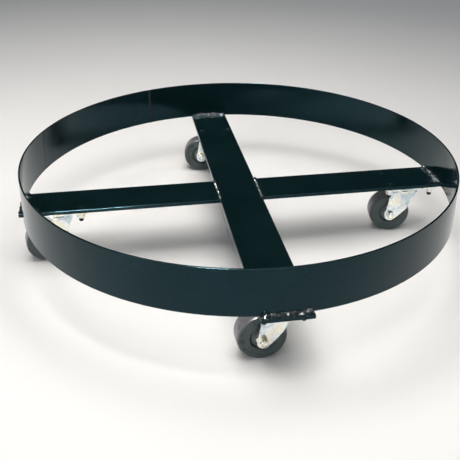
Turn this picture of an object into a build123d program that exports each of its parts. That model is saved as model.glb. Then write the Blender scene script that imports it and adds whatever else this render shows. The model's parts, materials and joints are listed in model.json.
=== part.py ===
from build123d import *
import math
import os

# A welded ring dolly on four swivel casters. The origin is on the floor under the centre of the ring,
# +Z is up, the through bar runs along Y and the two half bars lie along X. Millimetres.

# Ring and bars
ring_diameter = 762.0
ring_height = 76.2
ring_thickness = 3.2
bar_width = 76.2
bar_thickness = 6.35
bar_reach = 387.0
rolled_edge = 0.6

# Welds: a filler piece closes the ring between two butt joints
seam_angles = {"weld_seam": 111.0, "filler_seam": 158.0}
seam_gap = 1.6
short_weld_foot = 5.0
short_weld_head = 9.0
weld_leg = 4.6
bead_radius = 3.2
bead_height = 1.3
weld_end_gap = 1.5

# Caster: the plate is bolted under the bar, the kingpin stands inside the ring
caster_height = 101.6
caster_radius = 323.0
plate_length = 101.6
plate_width = 76.2
sheet = 3.2
plate_corner = 9.0
bolt_spacing_along = 79.4
bolt_spacing_across = 57.2

# Each caster's place round the ring and the way its wheel trails, in degrees from +X
caster_places = {"front": 270.0, "right": 0.0, "back": 90.0, "left": 180.0}
caster_headings = {"front": 182.0, "right": 170.0, "back": 172.0, "left": 190.0}

# Wheel and axle
wheel_radius = 38.1
wheel_width = 31.75
trail = 24.5
shoulder_radius = 4.5
recess_radius = 19.5
recess_depth = 6.0
boss_radius = 11.0
boss_taper = 1.2
recess_taper = 1.5
step_radius = 28.5
step = 0.7
hub_length = 36.7
bush_radius = 8.5
sleeve_radius = 6.35
running_fit = 0.07
axle_radius = 3.97
fork_gap = 38.8
washer_thickness = 0.8

# Swivel: two rings of balls, above and below the fork's crown
dish_depth = 2.6
dish_radius = 24.4
skirt_depth = 2.4
skirt_thickness = 3.0
upper_ball_radius = 3.175
upper_ball_pitch = 17.5
upper_ball_count = 16
lower_ball_radius = 2.38
lower_ball_pitch = 12.5
lower_ball_count = 14
upper_gap = 4.0
lower_gap = 3.0
ball_clearance = 0.25
ball_seat = 0.03
kingpin_radius = 5.0
kingpin_head = 8.5
kingpin_head_thickness = 2.2
kingpin_tail = 7.9
kingpin_tail_height = 3.5
kingpin_play = 2.0
lower_race_radius = 17.0
lower_race_thickness = 2.4
race_pocket_gap = 0.8

# Fork
crown_radius = 26.0
crown_rise = 4.2
crown_shoulder = 2.8
fork_front = -25.0
fork_back = 26.0
fork_bend = 4.6
ear_radius = 10.0
ear_drop = 2.5
front_fold = 10.0
blank_back = 45.0

# Fasteners, 5/16 inch
thread_radius = 3.97
clearance_hole = 4.3
hex_across_flats = 12.7
countersink_radius = 7.75
countersink_angle = 82
plate_bolt_length = 25.4
nut_height = 6.75
lock_washer_thickness = 2.1
lock_washer_rim = 0.4
lock_washer_split = 0.9
head_sink = 0.25
head_gap = 0.35
edge_break = 1.0
hex_chamfer = 0.6
nut_clearance = 0.03
bolt_clearance = 0.15
washer_clearance = 0.1
axle_head_height = 5.3
lock_nut_height = 8.4
lock_nut_hex = 5.6
lock_nut_collar = 6.05
lock_nut_round = 1.2
axle_end_recess = 0.8

# Worked out from the driving dimensions
ring_outer = ring_diameter / 2
ring_inner = ring_outer - ring_thickness
bar_bottom = caster_height
bar_top = bar_bottom + bar_thickness
plate_bottom = caster_height - sheet
dish_bottom = plate_bottom - dish_depth
crown_top = dish_bottom - upper_gap
crown_ceiling = crown_top - sheet
flange_top = crown_top - crown_rise
flange_bottom = flange_top - sheet
lower_race_top = crown_ceiling - lower_gap
lower_race_bottom = lower_race_top - lower_race_thickness
leg_outside = fork_gap / 2 + sheet
race_pocket_radius = lower_race_radius + race_pocket_gap
race_pocket_bottom = lower_race_bottom - race_pocket_gap

# The fork in side view: the fold line across each leg, and the corner in its front edge
fold_foot = (7.0, 38.3)
fold_head = (23.0, flange_top)
knee = (-6.0, 50.5)
hex_radius = hex_across_flats / 2 / math.cos(math.radians(30))

os.makedirs("parts", exist_ok=True)


def save(piece, name):
    """Labels a finished piece and writes its STEP file."""
    piece.part.label = name
    export_step(piece.part, "parts/" + name + ".step")


def on(station, plane):
    """A plane given in a station's own coordinates, put in the dolly's frame."""
    return Plane(station.location * plane.location)


def facing(degrees):
    """A horizontal unit vector at an angle from +X."""
    return Vector(math.cos(math.radians(degrees)), math.sin(math.radians(degrees)), 0)


def radial(degrees):
    """The upright plane through the ring's axis: x outward, y up."""
    return Plane(origin=(0, 0, 0), x_dir=facing(degrees), z_dir=facing(degrees - 90))


# ---------------------------------------------------------------- ring and bars

def make_ring_band(start, sweep):
    """A length of flat bar on edge, rolled to the ring's radius."""
    with BuildPart() as band:
        with BuildSketch(radial(start)):
            with Locations(((ring_inner + ring_outer) / 2, bar_top + ring_height / 2)):
                RectangleRounded(ring_thickness, ring_height, rolled_edge)
        revolve(axis=Axis.Z, revolution_arc=sweep)
    return band


def make_bar(plane, near, far, places):
    """A flat bar along the plane's x, from near to far, with countersunk holes at the caster places."""
    with BuildPart() as bar:
        with BuildSketch(on(plane, Plane.XY.offset(bar_bottom))):
            with Locations(((near + far) / 2, 0)):
                Rectangle(far - near, bar_width)
        extrude(amount=bar_thickness)
        fillet(bar.edges().filter_by(Axis(plane.origin, plane.x_dir)), rolled_edge)
        with Locations(on(plane, Plane.XY.offset(bar_top))):
            for place in places:
                with Locations((place, 0)):
                    with GridLocations(bolt_spacing_along, bolt_spacing_across, 2, 2):
                        CounterSinkHole(
                            clearance_hole, countersink_radius, counter_sink_angle=countersink_angle
                        )
    return bar


half_gap = math.degrees(seam_gap / 2 / ring_inner)
first_seam, last_seam = seam_angles.values()
save(make_ring_band(last_seam + half_gap, 360 - (last_seam - first_seam) - 2 * half_gap), "ring_band")
save(make_ring_band(first_seam + half_gap, last_seam - first_seam - 2 * half_gap), "ring_filler_piece")

along_y = Plane(origin=(0, 0, 0), x_dir=(0, 1, 0), z_dir=(0, 0, 1))
along_minus_x = Plane(origin=(0, 0, 0), x_dir=(-1, 0, 0), z_dir=(0, 0, 1))
save(make_bar(along_y, -bar_reach, bar_reach, (-caster_radius, caster_radius)), "through_bar")
save(make_bar(Plane.XY, bar_width / 2, bar_reach, (caster_radius,)), "cross_bar_right")
save(make_bar(along_minus_x, bar_width / 2, bar_reach, (caster_radius,)), "cross_bar_left")

# ---------------------------------------------------------------- welds

with BuildPart() as ring_welds:
    for place in caster_places.values():
        for face_radius, leg in ((ring_inner, -weld_leg), (ring_outer, weld_leg)):
            half_angle = math.degrees(math.asin((bar_width / 2 - weld_end_gap) / ring_outer))
            with BuildSketch(radial(place - half_angle)):
                with BuildLine():
                    Polyline(
                        (face_radius, bar_top),
                        (face_radius + leg, bar_top),
                        (face_radius, bar_top + weld_leg),
                        close=True,
                    )
                make_face()
            revolve(axis=Axis.Z, revolution_arc=2 * half_angle)
save(ring_welds, "ring_welds")

with BuildPart() as cross_welds:
    for side in (-1, 1):
        with BuildSketch(Plane.XZ.offset(-(bar_width / 2 - weld_end_gap))):
            with BuildLine():
                bead_foot = Line(
                    (side * bar_width / 2 - bead_radius, bar_top),
                    (side * bar_width / 2 + bead_radius, bar_top),
                )
                ThreePointArc(bead_foot @ 0, (side * bar_width / 2, bar_top + bead_height), bead_foot @ 1)
            make_face()
        extrude(amount=bar_width - 2 * weld_end_gap)
save(cross_welds, "cross_welds")

# The first seam is welded over its whole height; the second stops short at both edges
with BuildPart() as seam_welds:
    full_weld = (first_seam, 0, ring_height)
    short_weld = (last_seam, short_weld_foot, ring_height - short_weld_head)
    for angle, start, stop in (full_weld, short_weld):
        seam = Plane(origin=(0, 0, bar_top + start), x_dir=facing(angle), z_dir=(0, 0, 1))
        with BuildSketch(seam):
            with Locations((ring_inner + bead_radius - bead_height, 0)):
                Circle(bead_radius)
            Circle(ring_inner, mode=Mode.INTERSECT)
            with Locations(((ring_inner + ring_outer) / 2, 0)):
                Rectangle(ring_thickness + 0.1, seam_gap)
            Circle(ring_outer, mode=Mode.INTERSECT)
        extrude(amount=stop - start)
save(seam_welds, "seam_welds")


# ---------------------------------------------------------------- plate fasteners

mounts = {}
stations = {}
for where, place in caster_places.items():
    centre = facing(place) * caster_radius
    mounts[where] = Plane(origin=centre, x_dir=facing(place), z_dir=(0, 0, 1))
    stations[where] = Plane(origin=centre, x_dir=facing(caster_headings[where]), z_dir=(0, 0, 1))

bolt_corners = [
    (x * bolt_spacing_along / 2, y * bolt_spacing_across / 2) for x in (-1, 1) for y in (-1, 1)
]
bolt_planes = [
    on(mount, Plane(origin=(x, y, 0))) for mount in mounts.values() for x, y in bolt_corners
]
head_top = bar_top - head_sink
head_radius = countersink_radius - head_gap
head_depth = (head_radius - thread_radius) / math.tan(math.radians(countersink_angle / 2))
bolt_end = bar_top - plate_bolt_length
washer_bottom = plate_bottom - lock_washer_thickness

with BuildPart() as plate_bolts:
    for plane in bolt_planes:
        with BuildSketch(on(plane, Plane.XZ)):
            with BuildLine():
                Polyline(
                    (0, head_top),
                    (head_radius, head_top),
                    (thread_radius, head_top - head_depth),
                    (thread_radius, bolt_end + edge_break),
                    (thread_radius - edge_break, bolt_end),
                    (0, bolt_end),
                    close=True,
                )
            make_face()
        revolve(axis=Axis(plane.origin, (0, 0, 1)))
save(plate_bolts, "plate_bolts")

with BuildPart() as plate_lock_washers:
    for plane in bolt_planes:
        with BuildSketch(on(plane, Plane.XY.offset(washer_bottom))):
            Circle(hex_across_flats / 2 + lock_washer_rim)
            Circle(thread_radius + bolt_clearance, mode=Mode.SUBTRACT)
            with Locations((hex_across_flats / 2, 0)):
                Rectangle(hex_across_flats, lock_washer_split, mode=Mode.SUBTRACT)
        extrude(amount=lock_washer_thickness)
save(plate_lock_washers, "plate_lock_washers")

with BuildPart() as plate_nuts:
    for plane in bolt_planes:
        with BuildSketch(on(plane, Plane.XY.offset(washer_bottom - nut_height))):
            RegularPolygon(hex_radius, 6)
            Circle(thread_radius + nut_clearance, mode=Mode.SUBTRACT)
        extrude(amount=nut_height)
    nut_rims = plate_nuts.edges().filter_by(GeomType.LINE).filter_by(Plane.XY)
    chamfer(nut_rims, hex_chamfer)
save(plate_nuts, "plate_nuts")


# ---------------------------------------------------------------- caster pieces

def make_balls(station, pitch, height, radius, count):
    """Balls evenly spaced round a caster's kingpin."""
    with BuildPart() as balls:
        with Locations(on(station, Plane.XY.offset(height))):
            with PolarLocations(pitch, count):
                Sphere(radius)
    return balls


def upright(station):
    """The kingpin's axis."""
    return Axis(station.origin, (0, 0, 1))


def cut_groove(station, pitch, height, radius):
    """Cuts a ball track round the kingpin in the open part."""
    with BuildSketch(on(station, Plane.XZ)) as track:
        with Locations((pitch, height)):
            Circle(radius)
    revolve(track.sketch, axis=upright(station), mode=Mode.SUBTRACT)


def turn(station, outline, mode=Mode.ADD):
    """Turns an outline of (radius, height) corners round the kingpin, in the open part."""
    with BuildSketch(on(station, Plane.XZ)) as half_section:
        with BuildLine():
            Polyline(*outline, close=True)
        make_face()
    revolve(half_section.sketch, axis=upright(station), mode=mode)


def make_top_plate(mount):
    """The bolted plate, with the upper race pressed down out of its middle."""
    with BuildPart() as plate:
        with BuildSketch(on(mount, Plane.XY.offset(plate_bottom))):
            RectangleRounded(plate_length, plate_width, plate_corner)
        extrude(amount=sheet)
        rims = plate.faces().filter_by(Axis.Z).edges()
        fillet(rims, rolled_edge)
        flank = dish_depth * 1.4
        turn(mount, [
            (0, dish_bottom),
            (dish_radius - skirt_thickness, dish_bottom),
            (dish_radius - skirt_thickness + 0.8, dish_bottom - skirt_depth),
            (dish_radius - 0.5, dish_bottom - skirt_depth),
            (dish_radius, dish_bottom - skirt_depth + 0.5),
            (dish_radius, dish_bottom),
            (dish_radius + flank, plate_bottom),
            (0, plate_bottom + 1),
        ])
        turn(mount, [
            (0, dish_bottom + sheet),
            (dish_radius - skirt_thickness, dish_bottom + sheet),
            (dish_radius - skirt_thickness + flank, caster_height),
            (0, caster_height),
        ], Mode.SUBTRACT)
        with BuildSketch(on(mount, Plane.XY.offset(dish_bottom))):
            Circle(kingpin_radius)
        extrude(amount=caster_height, mode=Mode.SUBTRACT)
        with BuildSketch(on(mount, Plane.XY.offset(plate_bottom))):
            with GridLocations(bolt_spacing_along, bolt_spacing_across, 2, 2):
                Circle(clearance_hole)
        extrude(amount=sheet, mode=Mode.SUBTRACT)
        cut_groove(mount, upper_ball_pitch, dish_bottom - upper_gap / 2, upper_ball_radius + ball_clearance)
    return plate


def make_kingpin(station):
    """The rivet that holds the swivel together, headed at both ends."""
    top = dish_bottom + sheet
    with BuildPart() as kingpin:
        turn(station, [
            (0, top + kingpin_head_thickness),
            (kingpin_head - edge_break, top + kingpin_head_thickness),
            (kingpin_head, top + kingpin_head_thickness - edge_break),
            (kingpin_head, top),
            (kingpin_radius, top),
            (kingpin_radius, lower_race_bottom),
            (kingpin_tail, lower_race_bottom),
            (kingpin_tail, lower_race_bottom - kingpin_tail_height / 2),
            (kingpin_tail - kingpin_tail_height / 2, lower_race_bottom - kingpin_tail_height),
            (0, lower_race_bottom - kingpin_tail_height),
        ])
    return kingpin


def make_lower_race(station):
    """The cup under the crown that the lower balls run on."""
    with BuildPart() as race:
        turn(station, [
            (kingpin_radius, lower_race_bottom),
            (lower_race_radius - edge_break, lower_race_bottom),
            (lower_race_radius, lower_race_bottom + edge_break),
            (lower_race_radius, lower_race_top),
            (kingpin_radius, lower_race_top),
        ])
        cut_groove(
            station, lower_ball_pitch, crown_ceiling - lower_gap / 2, lower_ball_radius + ball_clearance
        )
    return race


def tangent_point(centre, radius, point, turn_way):
    """Where a line from a point touches a circle; turn_way picks the side."""
    across = math.atan2(point[1] - centre[1], point[0] - centre[0])
    opening = math.acos(radius / math.dist(centre, point))
    angle = across + turn_way * opening
    return (centre[0] + radius * math.cos(angle), centre[1] + radius * math.sin(angle))


def make_bell(station, inset):
    """The fork's closed outer form, or its inside when inset by the sheet; it narrows to the front."""
    half_width = leg_outside - inset
    rise = Vector(fold_head[0] - fold_foot[0], 0, fold_head[1] - fold_foot[1]).normalized()
    forward = Vector(-rise.Z, 0, rise.X)
    tilt = math.radians(front_fold)
    with BuildPart() as bell:
        with BuildSketch(on(station, Plane.XY)):
            with Locations(((fork_front + blank_back) / 2, 0)):
                Rectangle(blank_back - fork_front, 2 * half_width)
        extrude(amount=flange_top - inset)
        for side in (-1, 1):
            outward = Vector(0, side, 0) * math.cos(tilt) + forward * math.sin(tilt)
            foot = Vector(fold_foot[0], side * leg_outside, fold_foot[1]) - outward * inset
            split(bisect_by=on(station, Plane(origin=foot, x_dir=rise, z_dir=outward)), keep=Keep.BOTTOM)
        roof = bell.faces().sort_by(Axis.Z)[-1]
        ahead = Axis(station.origin, station.x_dir)
        sides = [edge for edge in roof.edges() if abs(edge.tangent_at(0.5).dot(ahead.direction)) > 0.7]
        fillet(sides, fork_bend - inset)
    return bell


def make_fork(station):
    """The pressed fork: a round crown with two legs that narrow down to the axle."""
    outer = make_bell(station, 0)
    inner = make_bell(station, sheet)
    ear = (trail, wheel_radius - ear_drop)
    leading = tangent_point(ear, ear_radius, knee, 1)
    trailing = tangent_point(ear, ear_radius, (fork_back, flange_top), -1)
    with BuildPart() as fork:
        add(outer.part)
        add(inner.part, mode=Mode.SUBTRACT)
        with BuildSketch(on(station, Plane.XZ)):
            with BuildLine():
                Polyline(
                    trailing,
                    (fork_back, flange_top),
                    (fork_front, flange_top),
                    knee,
                    leading,
                    ear,
                    close=True,
                )
            make_face()
            with Locations(ear):
                Circle(ear_radius)
        extrude(amount=2 * leg_outside, both=True, mode=Mode.INTERSECT)
        turn(station, [
            (0, crown_top),
            (crown_radius - crown_shoulder, crown_top),
            (crown_radius - crown_shoulder / 3, crown_top - crown_shoulder / 3),
            (crown_radius, crown_top - crown_shoulder),
            (crown_radius, flange_top - edge_break),
            (crown_radius - edge_break, flange_bottom),
            (0, flange_bottom),
        ])
        turn(station, [
            (0, crown_ceiling),
            (crown_radius - sheet - edge_break, crown_ceiling),
            (crown_radius - sheet, crown_ceiling - edge_break),
            (crown_radius - sheet, flange_bottom),
            (race_pocket_radius, flange_bottom),
            (race_pocket_radius, race_pocket_bottom),
            (0, race_pocket_bottom),
        ], Mode.SUBTRACT)
        with BuildSketch(on(station, Plane.XY.offset(crown_ceiling))):
            Circle(kingpin_radius + kingpin_play)
        extrude(amount=sheet, mode=Mode.SUBTRACT)
        cut_groove(station, upper_ball_pitch, crown_top + upper_gap / 2, upper_ball_radius + ball_seat)
        cut_groove(station, lower_ball_pitch, crown_ceiling - lower_gap / 2, lower_ball_radius + ball_seat)
        with BuildSketch(on(station, Plane.XZ)):
            with Locations((trail, wheel_radius)):
                Circle(axle_radius + bolt_clearance)
        extrude(amount=2 * leg_outside, both=True, mode=Mode.SUBTRACT)
    return fork


def axle_plane(station, across):
    """An upright plane square to the axle, centred on it; its normal is the station's +y."""
    return on(station, Plane(origin=(trail, across, wheel_radius), x_dir=(-1, 0, 0), z_dir=(0, 1, 0)))


def make_tube(station, outside, inside, length):
    """A tube on the axle, centred between the legs."""
    with BuildPart() as tube:
        with BuildSketch(axle_plane(station, -length / 2)):
            Circle(outside)
            Circle(inside, mode=Mode.SUBTRACT)
        extrude(amount=length)
    return tube


def make_axle_bolt(station):
    """The hexagon bolt through the fork, its end just inside the lock nut."""
    with BuildPart() as bolt:
        with BuildSketch(axle_plane(station, -leg_outside - axle_head_height)):
            RegularPolygon(hex_radius, 6)
        extrude(amount=axle_head_height)
        rims = bolt.faces().sort_by(Axis(station.origin, station.y_dir))[0].edges()
        chamfer(rims, hex_chamfer)
        with BuildSketch(axle_plane(station, -leg_outside)):
            Circle(axle_radius)
        extrude(amount=2 * leg_outside + lock_nut_height - axle_end_recess)
    return bolt


def make_axle_nut(station):
    """A lock nut: a hexagon with a round collar round its insert."""
    with BuildPart() as nut:
        with BuildSketch(axle_plane(station, leg_outside)):
            RegularPolygon(hex_radius, 6)
        extrude(amount=lock_nut_hex)
        with BuildSketch(axle_plane(station, leg_outside + lock_nut_hex)):
            Circle(lock_nut_collar)
        extrude(amount=lock_nut_height - lock_nut_hex)
        rims = nut.faces().sort_by(Axis(station.origin, station.y_dir))[-1].edges()
        fillet(rims, lock_nut_round)
        with BuildSketch(axle_plane(station, leg_outside)):
            Circle(axle_radius + nut_clearance)
        extrude(amount=lock_nut_height, mode=Mode.SUBTRACT)
    return nut


def make_thrust_washers(station):
    """One thin washer at each end of the hub."""
    with BuildPart() as washers:
        for start in (-fork_gap / 2, fork_gap / 2 - washer_thickness):
            with BuildSketch(axle_plane(station, start)):
                Circle(bush_radius + 2)
                Circle(sleeve_radius + washer_clearance, mode=Mode.SUBTRACT)
            extrude(amount=washer_thickness)
    return washers


def make_wheel(station):
    """The moulded wheel: flat tread, round shoulders, a ring step and a recess round each hub end."""
    half = wheel_width / 2
    profile = [
        (bush_radius, 0),
        (bush_radius, hub_length / 2),
        (boss_radius - edge_break, hub_length / 2),
        (boss_radius, hub_length / 2 - edge_break),
        (boss_radius + boss_taper, half - recess_depth),
        (recess_radius - recess_taper, half - recess_depth),
        (recess_radius, half - step),
        (step_radius, half - step),
        (step_radius + step, half),
        (wheel_radius, half),
        (wheel_radius, 0),
    ]
    across = on(station, Plane(origin=(trail, 0, wheel_radius), x_dir=(0, 0, 1), z_dir=(-1, 0, 0)))
    with BuildPart() as wheel:
        with BuildSketch(across):
            with BuildLine():
                Polyline(*profile, close=True)
            make_face()
            fillet(vertices().sort_by_distance((wheel_radius, half, 0))[0], shoulder_radius)
            mirror(about=Plane.XZ)
        revolve(axis=Axis(across.origin, station.y_dir))
    return wheel


for where in caster_places:
    mount = mounts[where]
    station = stations[where]
    save(make_top_plate(mount), "top_plate_" + where)
    save(make_kingpin(station), "kingpin_" + where)
    save(make_lower_race(station), "lower_race_" + where)
    upper_height = crown_top + upper_gap / 2
    lower_height = crown_ceiling - lower_gap / 2
    upper = make_balls(station, upper_ball_pitch, upper_height, upper_ball_radius, upper_ball_count)
    lower = make_balls(station, lower_ball_pitch, lower_height, lower_ball_radius, lower_ball_count)
    save(upper, "upper_balls_" + where)
    save(lower, "lower_balls_" + where)
    save(make_fork(station), "fork_" + where)
    save(make_axle_bolt(station), "axle_bolt_" + where)
    save(make_axle_nut(station), "axle_nut_" + where)
    save(make_tube(station, sleeve_radius, axle_radius + bolt_clearance, fork_gap), "axle_sleeve_" + where)
    save(make_thrust_washers(station), "thrust_washers_" + where)
    save(make_tube(station, bush_radius, sleeve_radius + running_fit, hub_length), "hub_bush_" + where)
    save(make_wheel(station), "wheel_" + where)
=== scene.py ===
import json
import math
import random

import bpy
from mathutils import Matrix, Vector, noise


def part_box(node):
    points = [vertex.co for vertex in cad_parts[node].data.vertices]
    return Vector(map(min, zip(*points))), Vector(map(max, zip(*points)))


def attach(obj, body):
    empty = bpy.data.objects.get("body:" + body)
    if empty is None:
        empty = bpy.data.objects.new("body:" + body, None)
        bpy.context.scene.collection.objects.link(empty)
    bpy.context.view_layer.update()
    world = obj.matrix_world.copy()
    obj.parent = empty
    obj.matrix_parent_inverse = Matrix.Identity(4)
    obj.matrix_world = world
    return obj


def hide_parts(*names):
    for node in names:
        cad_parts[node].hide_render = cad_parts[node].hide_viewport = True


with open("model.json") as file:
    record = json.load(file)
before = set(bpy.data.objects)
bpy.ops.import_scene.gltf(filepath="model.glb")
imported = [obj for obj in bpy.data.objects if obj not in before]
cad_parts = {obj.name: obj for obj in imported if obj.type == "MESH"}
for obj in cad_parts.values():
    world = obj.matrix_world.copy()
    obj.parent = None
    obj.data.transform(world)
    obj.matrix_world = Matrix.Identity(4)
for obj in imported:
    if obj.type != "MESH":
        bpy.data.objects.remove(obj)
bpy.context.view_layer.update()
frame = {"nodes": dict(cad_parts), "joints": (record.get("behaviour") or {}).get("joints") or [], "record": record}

MM = 0.001
CASTERS = ("front", "right", "back", "left")
joints = {joint["name"]: joint for joint in frame["joints"]}


# ---------------------------------------------------------------- camera, light and floor

def make_camera():
    """Stands in front and a little to the left, and looks down at the ring."""
    data = bpy.data.cameras.new("camera")
    data.sensor_width = 36.0
    data.lens = 55.6
    data.shift_y = -0.141
    camera = bpy.data.objects.new("camera", data)
    bpy.context.scene.collection.objects.link(camera)
    azimuth, pitch, roll = (math.radians(angle) for angle in (-9.96, 64.86, 0.49))
    tilted = Matrix.Rotation(pitch, 4, "X") @ Matrix.Rotation(roll, 4, "Z")
    turned = Matrix.Rotation(azimuth, 4, "Z") @ tilted
    place = (-0.2155, -1.1431, 0.7016)
    camera.matrix_world = Matrix.Translation(place) @ turned
    bpy.context.scene.camera = camera


def make_light(name, place, target, size, power, colour):
    """A large soft box aimed at a point."""
    data = bpy.data.lights.new(name, "AREA")
    data.shape = "RECTANGLE"
    data.size, data.size_y = size
    data.energy = power
    data.color = colour
    light = bpy.data.objects.new(name, data)
    bpy.context.scene.collection.objects.link(light)
    light.location = place
    light.rotation_euler = (Vector(target) - Vector(place)).to_track_quat("-Z", "Y").to_euler()
    return light


def make_studio():
    """Soft boxes above and to the sides; surroundings pale low down, dark higher up, grey overhead."""
    make_light("overhead_box", (-0.15, -0.12, 2.1), (-0.1, -0.1, 0), (2.2, 1.7), 43, (1.0, 0.985, 0.955))
    make_light("left_box", (-2.6, -1.6, 1.2), (0, 0, 0.1), (0.7, 1.3), 26, (0.95, 0.97, 1.0))
    make_light("right_box", (3.0, -1.6, 1.5), (0, 0, 0.1), (1.4, 1.6), 8, (0.88, 0.93, 1.0))
    # A small box that only glossy surfaces show, for the sparkle on the weld and the plate
    sparkle = make_light("sparkle_box", (-0.35, -0.5, 2.2), (0, 0, 0), (0.45, 0.25), 420, (1.0, 0.98, 0.96))
    sparkle.visible_diffuse = False
    world = bpy.data.worlds.new("studio")
    bpy.context.scene.world = world
    world.use_nodes = True
    tree = world.node_tree
    way = node(tree, "TexCoord").outputs["Generated"]
    height = node(tree, "SeparateXYZ", {"Vector": way}).outputs["Z"]
    pale, dark, top = (0.55, 0.57, 0.60, 1), (0.012, 0.020, 0.022, 1), (0.50, 0.51, 0.52, 1)
    sky = ramp(tree, height, [(0.0, pale), (0.12, pale), (0.28, dark), (0.64, dark), (0.85, top)])
    tree.links.new(sky, tree.nodes["Background"].inputs["Color"])
    bpy.context.scene.view_settings.view_transform = "Standard"


def make_floor():
    """A plain pale floor, with painted shade that darkens its colour a little with distance and a painted glow
    that lifts it into the pale surroundings further out.
    """
    bpy.ops.mesh.primitive_circle_add(vertices=96, radius=14, fill_type="NGON")
    floor = bpy.context.object
    floor.name = "studio_floor"
    material, tree, shader = new_material("pale_floor")
    spot = node(tree, "TexCoord").outputs["Object"]
    cloud = texture(tree, spot, 1.3, 2)
    tone = ramp(tree, cloud, [(0.3, (0.81, 0.785, 0.765, 1)), (0.7, (0.85, 0.83, 0.81, 1))])
    centre = (-0.5, -0.4, 0)
    reach = node(tree, "VectorMath", {0: spot, 1: centre}, operation="DISTANCE").outputs["Value"]
    dim_start, dimmest, dim_stop = 1.0, 3.3, 5.5
    glow_start, glow_stop, painted_glow_strength = 2.6, 6.5, 0.36
    # Painted shade: the floor's colour greys between 1 m and 3.3 m from a point behind the ring, then pales again
    # out to 5.5 m, standing in for light falling off
    painted_dimming = spread(tree, reach, 0.0, 1.0, dim_start, dimmest)
    recovery = spread(tree, reach, 1.0, 0.0, dimmest, dim_stop)
    painted_falloff_shade = product(tree, painted_dimming, recovery)
    tree.links.new(mix(tree, painted_falloff_shade, tone, (0.36, 0.37, 0.39, 1)), shader.inputs["Base Color"])
    # Painted glow: the floor emits a pale light of its own, rising from 2.6 m to 6.5 m out, so the far floor lifts
    # into the pale surroundings
    lift = spread(tree, reach, 0.0, painted_glow_strength, glow_start, glow_stop)
    tree.links.new(lift, shader.inputs["Emission Strength"])
    shader.inputs["Emission Color"].default_value = (0.97, 0.98, 1.0, 1)
    shader.inputs["Roughness"].default_value = 0.85
    shader.inputs["Specular IOR Level"].default_value = 0.25
    floor.data.materials.append(material)


# ---------------------------------------------------------------- node helpers

def node(tree, kind, inputs=(), **settings):
    """Adds a shader node; each input is a value or another node's output."""
    made = tree.nodes.new("ShaderNode" + kind)
    for key, value in settings.items():
        setattr(made, key, value)
    for key, value in dict(inputs).items():
        if isinstance(value, bpy.types.NodeSocket):
            tree.links.new(value, made.inputs[key])
        else:
            made.inputs[key].default_value = value
    return made


def ramp(tree, value, stops):
    """A colour ramp over a value; stops are (place, colour)."""
    made = node(tree, "ValToRGB", {"Fac": value})
    elements = made.color_ramp.elements
    elements[0].position, elements[0].color = stops[0]
    elements[1].position, elements[1].color = stops[-1]
    for place, colour in stops[1:-1]:
        elements.new(place).color = colour
    return made.outputs["Color"]


def texture(tree, spot, scale, detail, roughness=0.5):
    """Noise over the object's own coordinates; scale is in features per metre."""
    inputs = {"Vector": spot, "Scale": scale, "Detail": detail, "Roughness": roughness}
    return node(tree, "TexNoise", inputs).outputs["Fac"]


def spread(tree, value, low, high, start=0.3, stop=0.7):
    """Maps a value from start..stop to low..high."""
    inputs = {"Value": value, "From Min": start, "From Max": stop, "To Min": low, "To Max": high}
    return node(tree, "MapRange", inputs).outputs["Result"]


def mix(tree, share, first, second):
    """Mixes two colours."""
    return node(tree, "Mix", {0: share, 6: first, 7: second}, data_type="RGBA").outputs[2]


def bump(tree, height, strength, depth, under=None):
    """A bump from a height, over another bump if one is given."""
    inputs = {"Height": height, "Strength": strength, "Distance": depth}
    if under is not None:
        inputs["Normal"] = under
    return node(tree, "Bump", inputs).outputs["Normal"]


def product(tree, first, second):
    """Multiplies two values."""
    return node(tree, "Math", {0: first, 1: second}, operation="MULTIPLY").outputs["Value"]


def edge_share(tree, radius, start, stop):
    """0 on open faces and 1 on outside edges: how far a rounded normal leans from the face's own."""
    rounded = node(tree, "Bevel", {"Radius": radius}, samples=4).outputs["Normal"]
    face = node(tree, "NewGeometry").outputs["Normal"]
    lean = node(tree, "VectorMath", {0: rounded, 1: face}, operation="DOT_PRODUCT").outputs["Value"]
    return spread(tree, lean, 1.0, 0.0, start, stop)


def facing(tree):
    """0 where a surface is seen square on and 1 at its rim."""
    return node(tree, "LayerWeight", {"Blend": 0.5}).outputs["Facing"]


def corner_share(tree, distance):
    """1 on open faces, falling towards 0 deep in a corner."""
    return node(tree, "AmbientOcclusion", {"Distance": distance}, samples=6).outputs["AO"]


def stretched(tree, spot, scale):
    """Coordinates scaled by axis, for streaks."""
    return node(tree, "Mapping", {"Vector": spot, "Scale": scale}).outputs["Vector"]


def new_material(name):
    """A new material, its node tree and its main shader."""
    material = bpy.data.materials.new(name)
    material.use_nodes = True
    tree = material.node_tree
    return material, tree, tree.nodes["Principled BSDF"]


def dress(tree, shader, colour, roughness, normal):
    """Links a material's varying colour, roughness and normal."""
    tree.links.new(colour, shader.inputs["Base Color"])
    tree.links.new(roughness, shader.inputs["Roughness"])
    tree.links.new(normal, shader.inputs["Normal"])


# ---------------------------------------------------------------- materials

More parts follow.
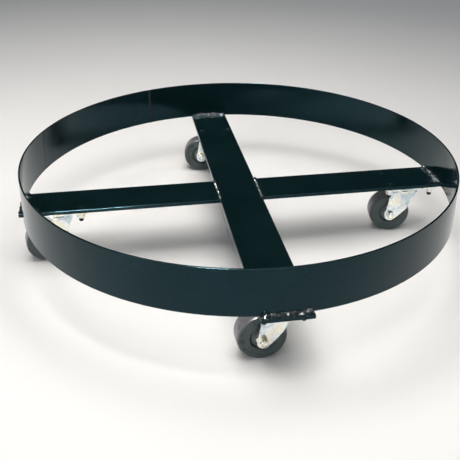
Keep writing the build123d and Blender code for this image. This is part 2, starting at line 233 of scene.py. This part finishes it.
def make_enamel(name="black_enamel", gloss=(0.07, 0.17), lumps=0.0, tint=(0.36, 0.80, 1.0, 1)):
    """Gloss black enamel with a blue-green cast: orange peel, faint dust, rubbed edges, a painted bluish sheen at
    grazing angles.
    """
    material, tree, shader = new_material(name)
    spot = node(tree, "TexCoord").outputs["Object"]
    cloud = texture(tree, spot, 11, 5, 0.6)
    speck = texture(tree, spot, 620, 3)
    paint = ramp(tree, cloud, [(0.3, (0.0018, 0.0080, 0.0092, 1)), (0.72, (0.0038, 0.0135, 0.0152, 1))])
    # Painted sheen: pale blue mixed into the paint towards each surface's rim as seen from the camera, standing in
    # for a reflection
    paint_and_painted_sheen = mix(tree, spread(tree, facing(tree), 0.0, 0.6, 0.72, 1.0), paint, (0.025, 0.045, 0.080, 1))
    dusty = mix(tree, spread(tree, speck, 0.0, 0.45, 0.66, 0.80), paint_and_painted_sheen, (0.11, 0.13, 0.135, 1))
    patchy = texture(tree, spot, 90, 4)
    patches = spread(tree, patchy, 0.0, 0.60, 0.50, 0.62)
    rubbed = product(tree, edge_share(tree, 0.8 * MM, 0.90, 0.995), patches)
    colour = mix(tree, rubbed, dusty, (0.19, 0.185, 0.18, 1))
    cloudy = texture(tree, spot, 26, 6, 0.6)
    roughness = spread(tree, cloudy, gloss[0], gloss[1])
    rolled = bump(tree, texture(tree, spot, 6, 2), 0.10, 0.0006)
    peel = bump(tree, texture(tree, spot, 260, 3), 0.22, 0.0003, rolled)
    if lumps:
        peel = bump(tree, texture(tree, spot, 330, 1), lumps, 0.0007, peel)
    dress(tree, shader, colour, roughness, peel)
    shader.inputs["IOR"].default_value = 1.38
    shader.inputs["Specular Tint"].default_value = tint
    return material


def make_zinc():
    """Bright zinc plate: cream and blue tints, rolling marks, clouded gloss, painted shade in the corners."""
    material, tree, shader = new_material("zinc_plate")
    spot = node(tree, "TexCoord").outputs["Object"]
    cloud = texture(tree, spot, 41, 3, 0.5)
    cream, silver, blue = (1.0, 0.93, 0.74, 1), (0.94, 0.96, 0.95, 1), (0.58, 0.70, 0.76, 1)
    tint = ramp(tree, cloud, [(0.40, cream), (0.47, silver), (0.53, silver), (0.62, blue)])
    spangle = texture(tree, spot, 240, 3)
    plate = mix(tree, spread(tree, spangle, 0.0, 0.25), tint, (0.74, 0.77, 0.76, 1))
    # Painted shade: the plate's colour darkened towards near black in corners and crevices, from ambient occlusion
    painted_corner_shade = spread(tree, corner_share(tree, 2.0 * MM), 0.34, 0.0, 0.25, 0.75)
    colour = mix(tree, painted_corner_shade, plate, (0.045, 0.05, 0.05, 1))
    roughness = spread(tree, texture(tree, spot, 90, 5, 0.6), 0.17, 0.36)
    rolled = texture(tree, stretched(tree, spot, (90, 90, 1500)), 1, 3)
    normal = bump(tree, spangle, 0.16, 0.0002, bump(tree, rolled, 0.12, 0.0002))
    dress(tree, shader, colour, roughness, normal)
    shader.inputs["Metallic"].default_value = 0.90
    return material


def make_rubber():
    """Moulded hard rubber: dark grey-green sides, a browner dusty tread, scuffed edges."""
    material, tree, shader = new_material("hard_rubber")
    spot = node(tree, "TexCoord").outputs["Object"]
    cloud = texture(tree, spot, 60, 5, 0.6)
    side = ramp(tree, cloud, [(0.3, (0.028, 0.046, 0.047, 1)), (0.7, (0.046, 0.070, 0.071, 1))])
    dust = ramp(tree, cloud, [(0.3, (0.115, 0.106, 0.115, 1)), (0.7, (0.180, 0.168, 0.176, 1))])
    tread = node(tree, "Attribute", attribute_name="tread").outputs["Fac"]
    scuff = texture(tree, spot, 420, 4)
    worn = mix(tree, product(tree, tread, spread(tree, scuff, 0.70, 1.0)), side, dust)
    smears = spread(tree, scuff, 0.1, 0.6, 0.45, 0.65)
    chalk = product(tree, edge_share(tree, 1.0 * MM, 0.93, 0.995), smears)
    chalked = mix(tree, chalk, worn, (0.16, 0.19, 0.20, 1))
    hub = node(tree, "Attribute", attribute_name="hub").outputs["Fac"]
    bare = product(tree, hub, spread(tree, cloud, 0.6, 1.0))
    colour = mix(tree, bare, chalked, (0.17, 0.20, 0.21, 1))
    roughness = spread(tree, cloud, 0.24, 0.38)
    normal = bump(tree, scuff, 0.18, 0.0002)
    dress(tree, shader, colour, roughness, normal)
    return material


def make_metal(name, dark, light, metallic, rough, grain):
    """A plain metal, coating or hard plastic with clouded colour and gloss."""
    material, tree, shader = new_material(name)
    spot = node(tree, "TexCoord").outputs["Object"]
    cloud = texture(tree, spot, 120, 4, 0.6)
    fine = texture(tree, spot, grain, 3)
    colour = ramp(tree, cloud, [(0.3, dark), (0.7, light)])
    roughness = spread(tree, fine, rough[0], rough[1])
    dress(tree, shader, colour, roughness, bump(tree, fine, 0.15, 0.0001))
    shader.inputs["Metallic"].default_value = metallic
    return material


# ---------------------------------------------------------------- mesh helpers

def make_piece(name, vertices, faces, body, materials, stands_for=()):
    """A new mesh that rides on a body and stands for CAD nodes."""
    mesh = bpy.data.meshes.new(name)
    mesh.from_pydata([tuple(v) for v in vertices], [], faces)
    mesh.validate()
    mesh.update()
    mesh.shade_smooth()
    for material in materials:
        mesh.materials.append(material)
    piece = bpy.data.objects.new(name, mesh)
    bpy.context.scene.collection.objects.link(piece)
    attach(piece, body)
    if stands_for:
        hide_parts(*stands_for)
    return piece


def tube_faces(rows, width, first=0):
    """Faces of a closed tube of rows with width points each, capped at both ends."""
    faces = []
    for row in range(rows - 1):
        for k in range(width):
            a = first + row * width + k
            b = first + row * width + (k + 1) % width
            faces.append((a, b, b + width, a + width))
    faces.append(tuple(first + k for k in reversed(range(width))))
    faces.append(tuple(first + (rows - 1) * width + k for k in range(width)))
    return faces


def turned_faces(turns, width):
    """Faces between the sections of a ring, each section a loop of width points."""
    faces = []
    for turn in range(turns):
        after = (turn + 1) % turns
        for k in range(width):
            beside = (k + 1) % width
            corners = (turn * width + k, turn * width + beside, after * width + beside, after * width + k)
            faces.append(corners)
    return faces


def islands(name):
    """The separate solids of a CAD node, each as a list of its corners; corners at one place are one."""
    mesh = frame["nodes"][name].data
    places = {}
    group = {}

    def root(key):
        while group[key] != key:
            group[key] = group[group[key]]
            key = group[key]
        return key

    for vertex in mesh.vertices:
        key = tuple(round(c / (0.01 * MM)) for c in vertex.co)
        places[vertex.index] = key
        group.setdefault(key, key)
    for edge in mesh.edges:
        a, b = (root(places[index]) for index in edge.vertices)
        group[a] = b
    solids = {}
    for vertex in mesh.vertices:
        solids.setdefault(root(places[vertex.index]), []).append(vertex.co)
    return list(solids.values())


def spans(points):
    """Lowest and highest corner of some points."""
    low = Vector([min(p[axis] for p in points) for axis in range(3)])
    high = Vector([max(p[axis] for p in points) for axis in range(3)])
    return low, high


def direction(angle):
    """A level unit vector at an angle in radians from +X."""
    return Vector((math.cos(angle), math.sin(angle), 0))


# ---------------------------------------------------------------- weld beads

RIPPLE = 5.2 * MM  # length of one crescent
LUMP = 2.2 * MM  # length of one lump on the crescents
LUMP_HEIGHT = 0.50
BEAD_STEP = 0.45 * MM
BEAD_TAPER = 2.5 * MM
BURIED = 1.2 * MM
DROPS = 9  # spatter beside each bead
WALL_SHARE = 0.45  # how many of them are on the wall
UP = Vector((0, 0, 1))
chance = random.Random(5)


def ripple(distance, seed):
    """How far a bead swells along its length: a row of overlapping crescents that wander in size."""
    wander = noise.noise(Vector((distance / RIPPLE * 0.7, seed, 0)))
    share = (distance / RIPPLE + 0.25 * wander) % 1
    crescent = math.sqrt(max(0.0, 1 - (2 * share - 1) ** 2))
    return 0.66 + 0.36 * crescent + 0.34 * wander


def add_bead(vertices, faces, length, place, section, seed, swell=0.0):
    """Adds one run of weld. place(distance) gives its root and the section's two axes; ends may swell."""
    steps = max(6, round(length / BEAD_STEP))
    width = len(section)
    first = len(vertices)
    for step in range(steps + 1):
        distance = length * step / steps
        root, side, rise = place(distance)
        to_end = min(distance, length - distance)
        taper = 0.55 + 0.45 * min(1.0, to_end / BEAD_TAPER)
        blob = swell * math.exp(-((to_end - 4 * MM) / (4 * MM)) ** 2)
        for k, (a, b) in enumerate(section):
            across = k / (width - 1)
            lag = RIPPLE * 0.5 * (1 - (2 * across - 1) ** 2)
            lumps = LUMP_HEIGHT * noise.noise(Vector((distance / LUMP, seed, 3.5 * across)))
            size = (ripple(distance - lag, seed) + lumps + blob) * taper
            a = a * size if a > 0 else a
            b = b * size if b > 0 else b
            vertices.append(root + side * a + rise * b)
    faces += tube_faces(steps + 1, width, first)


def add_drop(vertices, faces, root, normal, radius):
    """Adds one drop of spatter, a ball sunk halfway into a surface."""
    first = len(vertices)
    side = normal.orthogonal().normalized()
    across = normal.cross(side)
    rises = (-0.5, 0.0, 0.45, 0.8, 0.985)
    for rise in rises:
        reach = radius * math.sqrt(1 - rise * rise)
        for k in range(8):
            angle = math.pi * k / 4
            flat = side * math.cos(angle) + across * math.sin(angle)
            vertices.append(root + flat * reach + normal * radius * rise)
    faces += tube_faces(len(rises), 8, first)


def add_spatter(vertices, faces, arm, wall, way, seat, half):
    """Scatters a few drops on the wall and on the bar beside a bead."""
    for _ in range(DROPS):
        angle = arm + half * chance.uniform(-0.85, 0.85)
        size = MM * chance.uniform(0.30, 0.75)
        if chance.random() < WALL_SHARE:
            root = direction(angle) * wall + UP * (seat + MM * chance.uniform(8, 22))
            add_drop(vertices, faces, root, direction(angle) * way, size)
        elif way < 0:
            root = direction(angle) * (wall - MM * chance.uniform(8, 26)) + UP * seat
            add_drop(vertices, faces, root, UP, size)


def fillet_section(leg):
    """A quarter-round bead in a corner, buried a little in both walls."""
    arc = [math.radians(90 * k / 8) for k in range(9)]
    bulge = [(leg * math.sin(t) ** 1.3, leg * math.cos(t) ** 1.3) for t in arc]
    return [(-BURIED, leg * 0.9)] + bulge + [(leg * 0.9, -BURIED), (-BURIED, -BURIED)]


def flat_section(half_width, height):
    """A low crowned bead on a flat joint."""
    arc = [math.radians(180 * k / 10) for k in range(11)]
    crown = [(-half_width * math.cos(t), height * math.sin(t)) for t in arc]
    return [(-half_width, -BURIED)] + crown + [(half_width, -BURIED)]


def make_ring_beads(weld_enamel):
    """Fillet beads inside and outside, where the ring stands on each arm; the outside ones are heavier."""
    bar_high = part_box("through_bar")[1]
    radii = [math.hypot(v.co.x, v.co.y) for v in frame["nodes"]["ring_band"].data.vertices]
    inside, outside = (min(radii), -1, 5.0 * MM, 0.12), (max(radii), 1, 5.4 * MM, 0.35)
    vertices, faces = [], []
    for order, where in enumerate(CASTERS):
        kingpin = Vector(joints["swivel_" + where]["pos_m"])
        arm = math.atan2(kingpin.y, kingpin.x)
        for wall, way, leg, swell in (inside, outside):
            half = math.asin((bar_high.x - 1.2 * MM) / wall)

            def place(distance, wall=wall, way=way, half=half, arm=arm):
                out = direction(arm + distance / wall - half)
                return out * wall + UP * bar_high.z, out * way, UP

            seed = order * 7.3 + way
            add_bead(vertices, faces, 2 * half * wall, place, fillet_section(leg), seed, swell)
            add_spatter(vertices, faces, arm, wall, way, bar_high.z, half)
    make_piece("ring_weld_beads", vertices, faces, "frame", [weld_enamel], ["ring_welds"])


def make_cross_beads(weld_enamel):
    """Beads on top, where the two half bars meet the through bar."""
    bar_low, bar_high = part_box("through_bar")
    arm_low, arm_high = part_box("cross_bar_right")
    vertices, faces = [], []
    for x in (bar_low.x, bar_high.x):
        def place(distance, x=x):
            return Vector((x, arm_low.y + 1 * MM + distance, bar_high.z)), Vector((1, 0, 0)), UP

        length = arm_high.y - arm_low.y - 2 * MM
        add_bead(vertices, faces, length, place, flat_section(3.6 * MM, 3.0 * MM), 40 + x * 100, 0.15)
    make_piece("cross_weld_beads", vertices, faces, "frame", [weld_enamel], ["cross_welds"])


def make_seam_beads(weld_enamel):
    """Upright beads on the ring's inner face: one full and lumpy, one thin and short of both edges."""
    vertices, faces = [], []
    for points in islands("seam_welds"):
        low, high = spans(points)
        middle = (low + high) / 2
        out = Vector((middle.x, middle.y, 0)).normalized()
        along = Vector((-out.y, out.x, 0))
        reach = min(math.hypot(p.x, p.y) for p in points)
        ring_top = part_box("ring_band")[1].z
        full = high.z > ring_top - 2 * MM
        wall = out * (reach + 1.3 * MM)
        size = (3.2 * MM, 1.5 * MM) if full else (1.7 * MM, 0.5 * MM)

        def place(distance, wall=wall, along=along, low=low, out=out):
            return wall + UP * (low.z + distance), along, -out

        add_bead(vertices, faces, high.z - low.z, place, flat_section(*size), 80 + low.z * 100)
    make_piece("seam_weld_beads", vertices, faces, "frame", [weld_enamel], ["seam_welds"])


# ---------------------------------------------------------------- screws

THREAD_PITCH = 1.41 * MM
THREAD_DEPTH = 0.42 * MM
THREADED = 11 * MM
THREAD_STEPS = 6  # rings of corners in one pitch
HEAD_HALF_ANGLE = 41  # degrees
HEAD_ROWS = 6  # rows of faces from the socket's floor to the head's rim
SEGMENTS = 36


def polygon_share(angle, sides):
    """A regular polygon's radius at an angle, as a share of its corner radius."""
    step = 2 * math.pi / sides
    return math.cos(step / 2) / math.cos((angle % step) - step / 2)


def add_level_ring(vertices, centre, height, reaches):
    """Adds a level ring of corners round a centre, one for each reach."""
    for k, reach in enumerate(reaches):
        angle = 2 * math.pi * k / SEGMENTS
        x = centre.x + reach * math.cos(angle)
        y = centre.y + reach * math.sin(angle)
        vertices.append(Vector((x, y, height)))


def add_screw(vertices, faces, tops, points):
    """Adds one flat-head socket screw with a cut thread; tops collects the faces of its head."""
    low, high = spans(points)
    centre = (low + high) / 2
    head = (high.x - low.x) / 2
    foot = [p for p in points if p.z < low.z + 3 * MM]
    shank = max(math.hypot(p.x - centre.x, p.y - centre.y) for p in foot)
    cone = high.z - (head - shank) / math.tan(math.radians(HEAD_HALF_ANGLE))
    socket = 2.6 * MM
    rings = [
        (0.15 * MM, high.z - 1.8 * MM, 0),
        (socket * 0.96, high.z - 1.7 * MM, 6),
        (socket, high.z - 0.25 * MM, 6),
        (socket + 0.25 * MM, high.z - 0.02 * MM, 0),
        (head - 0.45 * MM, high.z, 0),
        (head - 0.10 * MM, high.z - 0.12 * MM, 0),
        (head, high.z - 0.35 * MM, 0),
        (shank, cone, 0),
    ]
    grooves = low.z + THREADED
    rings.append((shank, grooves, 0))
    first = len(vertices)
    angles = [2 * math.pi * k / SEGMENTS for k in range(SEGMENTS)]
    for radius, height, sides in rings:
        reaches = [radius * (polygon_share(angle, sides) if sides else 1) for angle in angles]
        add_level_ring(vertices, centre, height, reaches)
    steps = round(THREADED / THREAD_PITCH * THREAD_STEPS)
    for step in range(1, steps + 1):
        height = grooves - THREADED * step / steps
        narrow = max(0.0, 1 - (height - low.z) / (1.2 * MM))
        reaches = []
        for k in range(SEGMENTS):
            turn = (height / THREAD_PITCH - k / SEGMENTS) % 1
            cut = THREAD_DEPTH * abs(2 * turn - 1) + 0.7 * MM * narrow
            reaches.append(shank + 0.12 * MM - cut)
        add_level_ring(vertices, centre, height, reaches)
    start = len(faces)
    faces += [tuple(reversed(face)) for face in tube_faces(len(rings) + steps, SEGMENTS, first)]
    tops += range(start, start + HEAD_ROWS * SEGMENTS)


def make_screws(enamel, oxide):
    """The sixteen plate screws: painted heads, black threads."""
    vertices, faces, tops = [], [], []
    for points in islands("plate_bolts"):
        add_screw(vertices, faces, tops, points)
    screws = make_piece(
        "plate_screws", vertices, faces, "frame", [oxide, enamel], ["plate_bolts"]
    )
    for index in tops:
        screws.data.polygons[index].material_index = 1
    screws.data.set_sharp_from_angle(angle=math.radians(38))


# ---------------------------------------------------------------- wheels

WHEEL_SEGMENTS = 144
PARTING = 0.08 * MM  # height of the parting line on the tread
HUB_SHARE = 0.51  # radius of the hub's dish, as a share of the wheel's
RING_SHARES = (0.60, 0.665, 0.73)  # radii of the mould rings
EDGE_SHARE = 0.765  # radius where the raised rim of the side begins
CROWN_STEPS = 18  # points over half the tread


def wheel_sizes(name, centre, axle):
    """Measures a CAD wheel: its radius, half width, half hub length and bore."""
    radii, halves = [], []
    for vertex in frame["nodes"][name].data.vertices:
        across = (vertex.co - centre).dot(axle)
        radii.append((vertex.co - centre - axle * across).length)
        halves.append(abs(across))
    radius = max(radii)
    half = max(h for r, h in zip(radii, halves) if r > 0.6 * radius)
    return radius, half, max(halves), min(radii)


def round_corner(centre, radius, start, stop, count):
    """Points on an arc of the half section, angles in degrees."""
    angles = [math.radians(start + (stop - start) * k / count) for k in range(count + 1)]
    return [(centre[0] + radius * math.cos(t), centre[1] + radius * math.sin(t)) for t in angles]


def wheel_outline(radius, half, hub, bore):
    """Half section as (radius, distance from the middle plane), from the bore to the tread's centre."""
    recess, floor, ledge = radius * HUB_SHARE, half - 6 * MM, 0.7 * MM
    shoulder = 4.8 * MM
    rise = 0.42 * MM
    outline = [(bore, hub), (bore + 1.4 * MM, hub)]
    outline += round_corner((bore + 1.6 * MM, hub - 0.8 * MM), 0.8 * MM, 90, 0, 5)
    outline += [(bore + 3.5 * MM, floor + 1 * MM)]
    outline += round_corner((bore + 4.4 * MM, floor + 0.9 * MM), 0.9 * MM, 180, 270, 5)
    outline += [(bore + 7 * MM, floor + 0.3 * MM), (recess - 3.4 * MM, floor + 2.2 * MM)]
    outline += [(recess - 2.6 * MM, floor + 2.5 * MM), (recess - 2.2 * MM, floor + 0.6 * MM)]
    outline += round_corner((recess - 1.2 * MM, floor + 0.6 * MM), 0.8 * MM, 200, 350, 5)
    outline += round_corner((recess + 0.6 * MM, half - ledge - 0.7 * MM), 0.7 * MM, 160, 90, 5)
    for ring in RING_SHARES:
        crest = radius * ring
        for offset, lift in ((-0.55, 0), (-0.3, 0.75), (0, 1), (0.3, 0.75), (0.55, 0)):
            outline.append((crest + offset * MM, half - ledge + rise * lift))
    edge = radius * EDGE_SHARE
    outline += [(edge - 0.4 * MM, half - ledge), (edge, half - ledge * 0.6)]
    outline += [(edge + 0.35 * MM, half - 0.1 * MM), (edge + 0.8 * MM, half)]
    for step in range(1, CROWN_STEPS):
        share = math.cos(math.radians(5 * step))
        crown = (1 - share ** 6) ** 0.5
        outline.append((radius - PARTING - shoulder * (1 - crown), half * share))
    outline += [(radius - PARTING, 0.5 * MM), (radius, 0.25 * MM)]
    return outline


def make_wheel(where, rubber):
    """One moulded wheel, turned from its outline, with mould rings and a parting line."""
    joint = joints["roll_" + where]
    centre, axle = Vector(joint["pos_m"]), Vector(joint["axis"]).normalized()
    radius, half, hub, bore = wheel_sizes("wheel_" + where, centre, axle)
    outline = wheel_outline(radius, half, hub, bore)
    section = outline + [(r, -y) for r, y in reversed(outline)]
    forward = axle.cross(UP)
    vertices, tread, dish = [], [], []
    for turn in range(WHEEL_SEGMENTS):
        angle = 2 * math.pi * turn / WHEEL_SEGMENTS
        out = forward * math.cos(angle) + UP * math.sin(angle)
        for reach, across in section:
            vertices.append(centre + out * reach + axle * across)
            tread.append(min(1.0, max(0.0, (reach - radius + 2.4 * MM) / (1.4 * MM))))
            dish.append(1.0 if reach < radius * HUB_SHARE - 2.4 * MM else 0.0)
    faces = turned_faces(WHEEL_SEGMENTS, len(section))
    name = "moulded_wheel_" + where
    body = "wheel_assembly_" + where
    wheel = make_piece(name, vertices, faces, body, [rubber], ["wheel_" + where])
    for key, values in (("tread", tread), ("hub", dish)):
        attribute = wheel.data.attributes.new(key, "FLOAT", "POINT")
        attribute.data.foreach_set("value", values)
    wheel.data.set_sharp_from_angle(angle=math.radians(50))


def make_insert(where, nylon):
    """The nylon ring that shows at the end of the lock nut, round the bolt."""
    joint = joints["roll_" + where]
    centre, axle = Vector(joint["pos_m"]), Vector(joint["axis"]).normalized()
    corners = [v.co for v in frame["nodes"]["axle_nut_" + where].data.vertices]
    end = max((corner - centre).dot(axle) for corner in corners)
    forward = axle.cross(UP)
    section = [(4.10, -0.3), (4.10, 0.10), (4.25, 0.22), (4.75, 0.22), (4.95, 0.08), (4.95, -0.3)]
    vertices = []
    for turn in range(SEGMENTS):
        angle = 2 * math.pi * turn / SEGMENTS
        out = forward * math.cos(angle) + UP * math.sin(angle)
        vertices += [centre + out * r * MM + axle * (end + y * MM) for r, y in section]
    faces = turned_faces(SEGMENTS, len(section))
    make_piece("nut_insert_" + where, vertices, faces, "swivel_assembly_" + where, [nylon])


# ---------------------------------------------------------------- put together

make_camera()
make_studio()
make_floor()

enamel = make_enamel()
weld_enamel = make_enamel("weld_enamel", (0.04, 0.11), 0.9, (0.92, 0.97, 1.0, 1))
zinc = make_zinc()
rubber = make_rubber()
oxide_tones = (0.008, 0.009, 0.010, 1), (0.022, 0.022, 0.024, 1)
steel_tones = (0.52, 0.52, 0.53, 1), (0.66, 0.66, 0.66, 1)
bronze_tones = (0.28, 0.18, 0.08, 1), (0.44, 0.30, 0.15, 1)
nylon_tones = (0.42, 0.47, 0.52, 1), (0.56, 0.60, 0.64, 1)
oxide = make_metal("black_oxide", *oxide_tones, metallic=0.35, rough=(0.30, 0.48), grain=700)
steel = make_metal("bearing_steel", *steel_tones, metallic=1.0, rough=(0.10, 0.20), grain=900)
bronze = make_metal("sintered_bronze", *bronze_tones, metallic=0.9, rough=(0.38, 0.55), grain=1100)
nylon = make_metal("nylon_insert", *nylon_tones, metallic=0.0, rough=(0.35, 0.50), grain=800)

finishes = {
    "black_paint": enamel,
    "zinc_plate": zinc,
    "hard_rubber": rubber,
    "black_oxide": oxide,
    "bright_steel": steel,
    "sintered_bronze": bronze,
}
slots = {part["node"]: part["material_slot"] for part in frame["record"]["subparts"]}
for name, cad_node in frame["nodes"].items():
    cad_node.data.materials.clear()
    cad_node.data.materials.append(finishes[slots[name]])

make_ring_beads(weld_enamel)
make_cross_beads(weld_enamel)
make_seam_beads(weld_enamel)
make_screws(enamel, oxide)
for where in CASTERS:
    make_wheel(where, rubber)
    make_insert(where, nylon)
